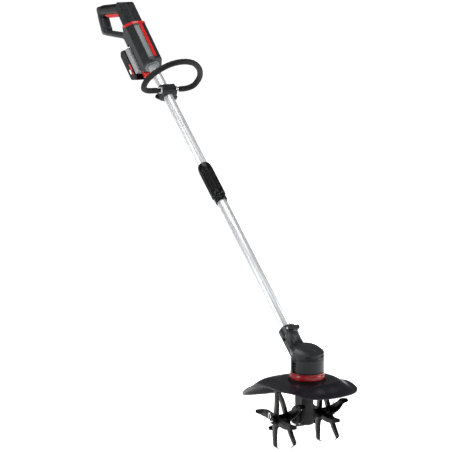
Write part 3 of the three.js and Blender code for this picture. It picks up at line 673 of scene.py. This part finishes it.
def motor_cap():
    """A cap with a flange, a rounded shoulder, two finger notches and a grooved disc; its top slants."""
    top = 23.7
    slant = 0.38
    notch_height, notch_tall, notch_wide, notch_depth = 8, 3.6, 9, 4.4
    notch_angles = (-118, -62)
    arc_per_degree = 0.77
    flange = [(41, 0), (44.6, 0), (45, 0.4), (45, 2.4), (44.6, 2.9)]
    side = [(43.6, 3.4 + (top - 15) * k / 14) for k in range(15)]
    shoulder = [(43.6, top - 11.4), (43.6, top - 9), (32.6, top - 1), (31, top - 0.9)]
    groove = [(30.6, top - 2.2), (29.8, top - 2.2), (29.4, top - 0.5), (28.4, top)]
    outer = flange + side + soften(shoulder, [0, 4, 3, 0], 6, closed=False) + groove + [(0, top)]
    inner = [(0, top - 3), (28, top - 3), (41, top - 14)]
    verts, faces = lathe_cup(outer, inner, 160)
    placed = []
    for v in map(Vector, verts):
        angle = math.degrees(math.atan2(v.y, v.x))
        for middle in notch_angles:
            across = (angle - middle) * arc_per_degree / notch_wide
            away = across ** 2 + ((v.z - notch_height) / notch_tall) ** 2
            if away < 1 and math.hypot(v.x, v.y) > 42:
                inward = 1 - notch_depth * (1 - away) ** 0.5 / math.hypot(v.x, v.y)
                v.x *= inward
                v.y *= inward
        v.z *= 1 + slant * v.y / HOUSING_RADIUS
        placed.append(v)
    made("motor_cap_dome", (placed, faces), MOTOR @ shift(0, 0, 242.3), "charcoal", "digging_head",
         ("motor_cap",), sharp=34)


def collar_and_gutter():
    collar = [(40, 184), (45.2, 184), (46, 185), (46, 194.5), (45.4, 195.6), (44.4, 195.9), (44.2, 197),
              (44.6, 200.2), (44.2, 201), (40, 201)]
    made("red_collar_ring", lathe(soften(collar, 0.8, 3), "z", 128), MOTOR, "collar_red", "digging_head",
         ("red_collar",), sharp=30)
    # The gutter is a near-black ring: painted shadow under the collar, where the guard's recess lies in
    # shade.
    gutter = soften([(46.3, 183.6), (50.5, 179.8), (50.5, 178.6), (44, 179.6), (44, 183.6)], 0.9, 3)
    made("collar_gutter", lathe(gutter, "z", 128), MOTOR, PAINTED_SHADE, "digging_head", slot="rubber")


def socket_parts():
    refined("shaft_socket", 1.3, sharp=26)
    place = SHAFT @ shift(0, -13, 25)
    shank = [(0, -16), (2.5, -16), (2.5, 19.2), (0, 19.2)]
    made("socket_screw_shank", lathe(shank, "x", 32), place, "steel", "digging_head",
         ("socket_clamp_screw",))
    screw("socket_screw_head", aimed(place, (19.4, 0, 0), (1, 0, 0)), 4.2, "digging_head", depth=2.4)
    button = [(0, -27), (3.4, -27), (4, -26.2), (4, -17.5), (0, -17.5)]
    button = soften(button, [0, 0.8, 0.8, 0, 0], 3, closed=False)
    made("spring_button_cap", lathe(button, "x", 40), SHAFT @ shift(0, -30, 0), "black", "socket_button",
         ("spring_button",))


motor_housing()
motor_cap()
collar_and_gutter()
socket_parts()

# Guard: a deck round the collar, a shoulder that falls to a raised lip, and a curtain behind
GUARD_EDGE = [
    (-117, -55, -8), (-120, 0, -9), (-121, 45, -15), (-123, 95, -32), (-116, 136, -60), (-64, 148, -70),
    (0, 146, -72), (60, 140, -67), (110, 116, -53), (127, 62, -35), (130, 5, -26), (118, -57, -28),
    (88, -95, -29), (38, -112, -29), (-9, -111, -29), (-62, -111, -22), (-100, -88, -9),
]


def closed_curve(points, steps):
    """A smooth closed curve through the points, starting at the first."""
    doubled = points[-3:] + points + points[:4]
    dense = catmull(doubled, len(doubled) * 40)
    half = len(dense) // 2
    start = Vector(points[0])
    first = min(range(half), key=lambda k: (dense[k] - start).length)
    last = min(range(half, len(dense)), key=lambda k: (dense[k] - start).length)
    loop = dense[first:last]
    return [loop[int(len(loop) * i / steps)] for i in range(steps)]


def guard():
    """The deck falls to the rim in a soft S in front and ever more steeply behind, with a lip."""
    rim = closed_curve(GUARD_EDGE, 240)
    hole, crown, thickness = 30, -5, 3
    lip_width, ridge_width = 9, 0.025

    def at(edge, share, drop=0.0):
        reach = math.hypot(edge.x, edge.y)
        back = max(0.0, edge.y / reach)
        radius = hole + share * (reach - hole)
        lip = lip_width / (reach - hole)
        start = 0.46 + 0.06 * back
        run = min(1.0, max(0.0, (share - start) / (1 - lip - start)))
        front_fall = run * run * (3 - 2 * run) * (0.92 + 0.08 * share)
        fall = (1 - back) * front_fall + back * share ** (2 + 2.2 * back)
        if share > 1 - lip:
            fall = fall + (1 - fall) * (share - 1 + lip) / lip
        ridge = math.exp(-((share - (1 - lip)) / ridge_width) ** 2)
        height = crown + (edge.z - crown) * fall + ridge * (1 - share)
        return Vector((edge.x * radius / reach, edge.y * radius / reach, height - drop))

    shares = [0, 0.03, 0.08, 0.14, 0.2, 0.27, 0.34, 0.41, 0.48, 0.55, 0.61, 0.67, 0.73, 0.78, 0.83,
              0.87, 0.9, 0.925, 0.945, 0.96, 0.975, 0.99, 1]
    rings = [[at(edge, share) for edge in rim] for share in shares]
    for share, drop in ((1, 1), (1, 2.6), (0.995, thickness)):
        rings.append([at(edge, share, drop) for edge in rim])
    rings += [[at(edge, share, thickness) for edge in rim] for share in reversed(shares[:-1])]
    made("guard_moulding", loft(rings, cyclic=True), MOTOR @ shift(0, 0, 184), "guard", "digging_head",
         ("guard_shield",), sharp=38)


guard()
SCREW_CIRCLE = 33
for i, angle in enumerate((35, 145, 215, 325)):
    x, y = SCREW_CIRCLE * math.cos(math.radians(angle)), SCREW_CIRCLE * math.sin(math.radians(angle))
    screw(f"guard_screw_{i}", MOTOR @ shift(x, y, 163.6) @ turn(180), 3.2, "digging_head")

# Gear case in two halves with a seam, its screws and its drain plug
CASE_SCREWS = ((-20, 22, 17.2), (12, 21, 20.2), (21, -6, 20.2), (4, -22, 20.2), (-16, -16, 20.2))
for side in ("left", "right"):
    refined(f"gear_case_{side}", 0.9, sharp=30)
for i, (y, z, out) in enumerate(CASE_SCREWS):
    for side, name in ((-1, "left"), (1, "right")):
        place = aimed(AXLE, (side * out, y, z), (side, 0, 0))
        screw(f"case_screw_{i}_{name}", place, 2.6, "digging_head")
plug = [(0, -29.6), (3.8, -29.6), (4.6, -28.8), (4.6, -26), (0, -26)]
made("drain_plug", lathe(plug, "z", 6), AXLE, "steel", "digging_head")

# Axle, hubs, tine stars and clips
axle_end = soften([(0, -105), (6, -105), (6, 105), (0, 105)], [0, 1.2, 1.2, 0], 3, closed=False)
made("axle_rod", lathe(axle_end, "x", 48), AXLE, "steel", "tine_rotor", ("tine_axle",))


def tine_arm(side):
    """One forged arm along +Z with its tip bent to a side, and the wear of each of its vertices."""
    root, knee, half, sway = 8, 71, 2.0, 1.4
    bend, bend_radius, tip_length = math.radians(64), 7, 10.5
    stations = []
    for k in range(11):
        t = k / 10
        bow = -3.2 * math.sin(math.pi * t) + sway * t
        width = 12.6 - 3.4 * t + 1.2 * math.sin(math.pi * t)
        stations.append((Vector((0, bow, root + (knee - root) * t)), 0.0, width, half, 0.0))
    for k in range(1, 7):
        a = bend * k / 6
        place = Vector((side * bend_radius * (1 - math.cos(a)), sway, knee + bend_radius * math.sin(a)))
        stations.append((place, side * a, 9.0 - 0.35 * k, half - 0.11 * k, 0.0))
    knee_end = stations[-1][0]
    outward = Vector((side * math.sin(bend), 0, math.cos(bend)))
    for k in range(1, 5):
        place = knee_end + outward * (tip_length * k / 4) + Vector((0, -0.35 * k, 0))
        stations.append((place, side * bend, 7.4 - 0.8 * k, 1.3 - 0.2 * k, 0.13 * k))

    rings = []
    wear = []
    for place, lean, width, thick, worn in stations:
        flank = [(-width, 0.35), (-width * 0.8, 0.95), (-1.9, 0.7), (0, 1.0), (1.9, 0.7),
                 (width * 0.8, 0.95), (width, 0.35)]
        section = [(y, -x) for y, x in flank] + [(y, x) for y, x in reversed(flank)]
        across = Vector((math.cos(lean), 0, -math.sin(lean)))
        rings.append([place + Vector((0, y, 0)) + across * (x * thick) for y, x in section])
        wear += [worn] * len(section)
    return loft(rings), wear


def star(name, station, first_angle):
    """Four arms on a hub ring, two bent to each side."""
    shapes = []
    wears = []
    for i, side in enumerate((1, 1, -1, -1)):
        arm, wear = tine_arm(side)
        shapes.append(moved(arm, turn(first_angle + 90 * i)))
        wears += wear
    hub = lathe(soften([(11.8, -2.3), (17, -2.3), (17, 2.3), (11.8, 2.3)], 0.8, 2), "x", 48)
    shapes.append(hub)
    wears += [0.0] * len(hub[0])
    verts, faces = moved(joined(*shapes), AXLE @ shift(station, 0, 0))
    mesh = bpy.data.meshes.new(f"tine_star_{name}_forged")
    mesh.from_pydata(verts, [], faces)
    mesh.attributes.new("wear", "FLOAT", "POINT").data.foreach_set("value", wears)
    clean(mesh)
    obj = bpy.data.objects.new(mesh.name, mesh)
    scene.collection.objects.link(obj)
    dress(obj, "tine_paint", "tine_rotor", (f"tine_star_{name}",), sharp=26)


OUTER_STATION, OUTER_ANGLE = 83, 93
INNER_STATION, INNER_ANGLE = 50, -33
star("outer_left", -OUTER_STATION, OUTER_ANGLE)
star("inner_left", -INNER_STATION, INNER_ANGLE)
star("inner_right", INNER_STATION, OUTER_ANGLE)
star("outer_right", OUTER_STATION, INNER_ANGLE)


def hub_sleeve(side, name):
    """A sleeve with a flange on each side of both stars."""
    tube = [(6.3, 31.5), (11.2, 31.5), (11.5, 32)]
    for centre, outer_flange in ((INNER_STATION, 15), (OUTER_STATION, 14.4)):
        tube += [(11.5, centre - 4.6), (15, centre - 4.4), (15, centre - 2.6), (11.5, centre - 2.3)]
        tube += [(11.5, centre + 2.3), (outer_flange, centre + 2.6), (outer_flange, centre + 4.4),
                 (11.5, centre + 4.6)]
    tube += [(11.5, 94.4), (11, 95), (6.3, 95)]
    made(f"hub_sleeve_{name}", lathe([(r, side * x) for r, x in tube], "x", 48), AXLE, "tine_paint",
         "tine_rotor", (f"hub_tube_{name}",), sharp=30)


def hairpin_clip(side, name):
    route = [(0, -15), (0, 0), (0, 13), (3.5, 19), (8.5, 17.5), (9, 11), (7.9, 5), (7.7, 0), (8.4, -6),
             (11, -12)]
    wire = catmull([(0, y, z) for y, z in route], 70)
    made(f"clip_wire_{name}", sweep(wire, lambda share: circle_of(1.3, 14), (1, 0, 0)),
         AXLE @ shift(side * 99.5, 0, 0), "steel", "tine_rotor", (f"hairpin_clip_{name}",))


for side, name in ((-1, "left"), (1, "right")):
    hub_sleeve(side, name)
    hairpin_clip(side, name)


# Shaft tubes and the twist coupler
def tube_profile(start, end):
    return [(12.8, start), (13.6, start), (14, start + 0.5), (14, end - 0.5), (13.6, end), (12.8, end)]


def fluted_sleeve():
    """A fluted sleeve; a station has a radius, a place along the shaft and its share of the flutes."""
    outer, flute_depth, flutes, sides = 20.5, 1.5, 12, 240
    stations = [(19.4, 473, 0), (20.2, 473.6, 0)]
    stations += [(outer, height, share) for height, share in (
        (475, 0), (482, 0), (484, 0.25), (488, 0.9), (494, 1), (515, 1), (535, 1), (552, 1),
        (558, 0.9), (562, 0.25), (564, 0), (570, 0))]
    stations += [(20.3, 573, 0), (19.2, 581, 0), (17.4, 586, 0), (16.2, 588.2, 0), (15.4, 589, 0),
                 (14.3, 589, 0), (14.3, 562, 0), (18.3, 562, 0), (18.3, 473, 0)]
    rings = []
    for radius, height, share in stations:
        circle = []
        for k in range(sides):
            angle = 2 * math.pi * k / sides
            wave = 0.5 + 0.5 * math.cos(flutes * angle)
            reach = radius - share * flute_depth * wave ** 3
            circle.append((reach * math.cos(angle), height, reach * math.sin(angle)))
        rings.append(circle)
    made("coupler_grip_sleeve", loft(rings, cyclic=True), SHAFT, "black", "twist_sleeve",
         ("coupler_sleeve",), sharp=36)


made("lower_tube_drawn", lathe(tube_profile(-60, 505), "y", 72), SHAFT, "tube", "digging_head",
     ("lower_tube",))
made("upper_tube_drawn", lathe(tube_profile(506, 1088), "y", 72), SHAFT, "tube", "rear_handle",
     ("upper_tube",))
coupler_ring = [(14.3, 450.6), (16, 450.6), (17.5, 454.6), (17.5, 460), (16.7, 460.5), (16.7, 462),
                (17.5, 462.5), (17.5, 470), (14.3, 470)]
made("coupler_collar_ring", lathe(soften(coupler_ring, 0.5, 3), "y", 72), SHAFT, "black",
     "digging_head", ("coupler_collar",), sharp=30)
fluted_sleeve()

# Front loop handle, its washers and the clamp bracket
LOOP_POINTS = [(38, 0), (62, 1.5), (80, 12), (86, 34), (83, 62), (66, 95), (36, 122)]
loop_route = [(26.5, 0, 0)] + [(x, 0, z) for x, z in LOOP_POINTS] + [(0, 0, 131)]
loop_route += [(-x, 0, z) for x, z in reversed(LOOP_POINTS)] + [(-20, 0, 0)]
LOOP_PATH = catmull(loop_route, 240)
FOAM_PATH = LOOP_PATH[6:-6]


def foam_section(share):
    """A round sleeve that narrows over its last few steps and swells a little along its length."""
    steps_from_end = min(share, 1 - share) * (len(FOAM_PATH) - 1)
    radius = 8.3 - 1.4 * max(0.0, 1 - steps_from_end / 3.2) ** 2
    return circle_of(radius + 0.06 * math.sin(share * 190), 32)


made("loop_tube_bent", sweep(LOOP_PATH[::2], lambda share: circle_of(6, 28), (0, 1, 0)), LOOP,
     LOOKS["black"], "loop_handle", ("loop_tube",), slot="steel")
foam = made("loop_foam_grip", sweep(FOAM_PATH, foam_section, (0, 1, 0)), LOOP, "foam", "loop_handle",
            ("loop_grip",), sharp=50)
for name, start in (("left", -24.4), ("right", 25.4)):
    washer = [(6.3, start), (9.3, start), (9.3, start + 2.2), (7.9, start + 2.4), (7.9, start + 3.8),
              (9.3, start + 4), (9.3, start + 6), (6.3, start + 6)]
    made(f"loop_spacer_{name}", lathe(soften(washer, 0.4, 2), "x", 48), LOOP, "steel", "loop_handle",
         (f"loop_washer_{name}",), sharp=30)
refined("bracket_upper", 1.6, sharp=24)
refined("bracket_lower", 1.0, sharp=24)
refined("clamp_lever", 0.7, sharp=24)
refined("lever_pin", 0.3, sharp=30)
for i, (x, y) in enumerate(((-11, -8.68), (17.5, -8.68), (-11, 8.68), (17.5, 8.68))):
    screw(f"bracket_screw_{i}", BRACKET @ shift(x, y, 24), 2.5, "loop_clamp", "black", 0.8)

# Rear housing and D-handle
POST_FOOT = (1123, 999)
BAR_FRONT = (950, 999)
GRIP_LEAD = 30
GRIP_ROOT = (GRIP_FRONT[0] - GRIP_LEAD * math.cos(math.radians(GRIP_RISE)),
             GRIP_FRONT[1] - GRIP_LEAD * math.sin(math.radians(GRIP_RISE)))
RING_ROUTE = [Vector(p) for p in (GRIP_ROOT, GRIP_BACK, POST_FOOT, BAR_FRONT)]
RING_HALVES = (14.5, 16, 7.5)
RING_START = 1030


def on_ring(point):
    """The nearest point of the D-handle's centre line, and the half height there."""
    best, total, weights = None, 0.0, 0.0
    for start, end, half in zip(RING_ROUTE, RING_ROUTE[1:], RING_HALVES):
        run = end - start
        share = min(1, max(0, (point - start).dot(run) / run.length_squared))
        nearest = start + run * share
        away = (point - nearest).length
        weight = 1 / (away + 0.5) ** 4
        total += half * weight
        weights += weight
        if best is None or away < best[1]:
            best = (nearest, away)
    return best[0], total / weights


def slimmed(obj):
    """Draws the far part of the CAD ring towards its centre line, under the moulded ring."""
    slim_flat, slim_wide = 0.84, 0.86
    back = TOOL.inverted()
    for vertex in obj.data.vertices:
        place = back @ vertex.co
        if place.y > RING_START:
            here = Vector((place.y, place.z))
            nearest, _ = on_ring(here)
            flat = nearest + (here - nearest) * slim_flat
            vertex.co = TOOL @ Vector((place.x * slim_wide, flat.x, flat.y))


def handle_ring():
    """The moulded D: rounded outside, flatter inside, with a slot for the trigger under the grip."""
    steps, wide, mid_grip = 190, 15, 0.45
    arc_start, arc_sweep, arc_steps = 36, 288, 40
    under_grip = 1040
    slot_start, slot_end, slot_edge, slot_floor, slot_steps = 3, 129, 9.1, -6.5, 8
    black_start, black_end, black_low = -40, 138, -25
    route = soften(RING_ROUTE, [0, 24, 18, 0], 10, closed=False)
    path = [Vector((0, spot.x, spot.y)) for spot in evenly(route, steps)]
    to_grip = GRIP.inverted()

    def section(share):
        spot = path[round(share * steps)]
        tall = on_ring(Vector((spot.y, spot.z)))[1] + 1
        power = 2.7 + 1.8 * min(1, abs(share - mid_grip) / mid_grip) ** 1.5
        along = (to_grip @ (TOOL @ spot)).y
        has_slot = slot_start < along < slot_end and spot.z > under_grip

        def surface(b):
            return tall * max(0.0, 1 - (abs(b) / wide) ** power) ** (1 / power)

        outline = []
        for i in range(arc_steps + 1):
            angle = math.radians(arc_start + arc_sweep * i / arc_steps)
            c, d = math.cos(angle), math.sin(angle)
            reach = (abs(c) ** power + abs(d) ** power) ** (-1 / power)
            seam = 0.5 if i == arc_steps // 2 else 0
            outline.append(((tall * reach - seam) * c, wide * reach * d))
        outline = [(a, b) for a, b in outline if a < 0 or abs(b) > slot_edge + 0.3]
        outline.append((surface(slot_edge), -slot_edge))
        for i in range(slot_steps + 1):
            b = -slot_edge + 0.05 + (2 * slot_edge - 0.1) * i / slot_steps
            outline.append((slot_floor if has_slot else surface(b), b))
        outline.append((surface(slot_edge), slot_edge))
        return outline

    obj = mesh_object("handle_ring", sweep(path, section, (1, 0, 0)), TOOL)
    obj.data.materials.append(LOOKS["charcoal"])
    obj.data.materials.append(LOOKS["black"])
    for face in obj.data.polygons:
        centre = to_grip @ face.center
        if black_start < centre.y < black_end and centre.z > black_low:
            face.material_index = 1
    dress(obj, "charcoal", "rear_handle", sharp=40)


for side in ("left", "right"):
    slimmed(refined(f"handle_shell_{side}", 1.1, sharp=22))
handle_ring()
refined("red_band", 0.5, sharp=30)
refined("top_stripe", 0.5, sharp=30)
refined("trigger", 1.2, sharp=30)
refined("lock_off_button", 0.6, sharp=40)


# Strips on the two top facets, the left one light grey as a painted highlight where light falls on that
# facet, and the ring at the front of the housing
def inlay(name, side, look, slot):
    """A thin strip along a facet; its rear end slants with the red band."""
    slant = 0.5
    middle_x, middle_z = 12.9, 33.4
    outline = soften([(6.6, 36.5), (19.6, 31.7), (19.2, 30.4), (6.2, 35.2)], 0.25, 2)
    rings = []
    for y, size, slanted in ((2.97, 0.94, 0), (4, 1, 0), (124, 1, slant), (125.97, 0.94, slant)):
        rings.append([
            (side * (middle_x + (x - middle_x) * size), y - slanted * (z - middle_z),
             middle_z + (z - middle_z) * size)
            for x, z in outline
        ])
    made(name, loft(rings), REAR, look, "rear_handle", slot=slot, sharp=30)


# The left strip's light grey is a painted highlight on the lit facet; the right strip keeps the housing's
# charcoal.
inlay("left_facet_painted_highlight", -1, GREY_TRIM_AND_PAINTED_HIGHLIGHT, "grey")
inlay("right_inlay", 1, LOOKS["charcoal"], "charcoal")
front_ring = soften([(14.4, -9), (20.5, -9), (22, -7.2), (22, -6), (14.4, -6)], 0.5, 3)
made("housing_front_ring", lathe(front_ring, "y", 72), SHAFT @ shift(0, HOUSING_STATION, 0), GREY_TRIM_AND_PAINTED_HIGHLIGHT,
     "rear_handle", slot="grey", sharp=30)

# Battery
refined("battery_tray", 1.6, sharp=24)
refined("battery_lid", 1.0, sharp=24)
refined("battery_latch", 0.8, sharp=24)


def printed(name, corners, look):
    """A thin plain patch of print on both sides of the battery."""
    for side, end in ((-1, "left"), (1, "right")):
        low, high = sorted((side * 34.6, side * 35.25))
        made(f"{name}_{end}", prism(soften(corners, 0.8, 2), low, high, "x"), REAR, look, "battery",
             slot="red" if look == "red" else "grey")


printed("print_upper", [(27, -57), (27, -49.6), (50, -49.6), (53, -57)], "red")
printed("print_lower", [(24, -67), (24, -60.5), (38, -60.5), (41, -67)], WHITE_PRINT)
printed("print_dot", [(15.5, -59), (15.5, -51.5), (22, -51.5), (22, -59)], "red")
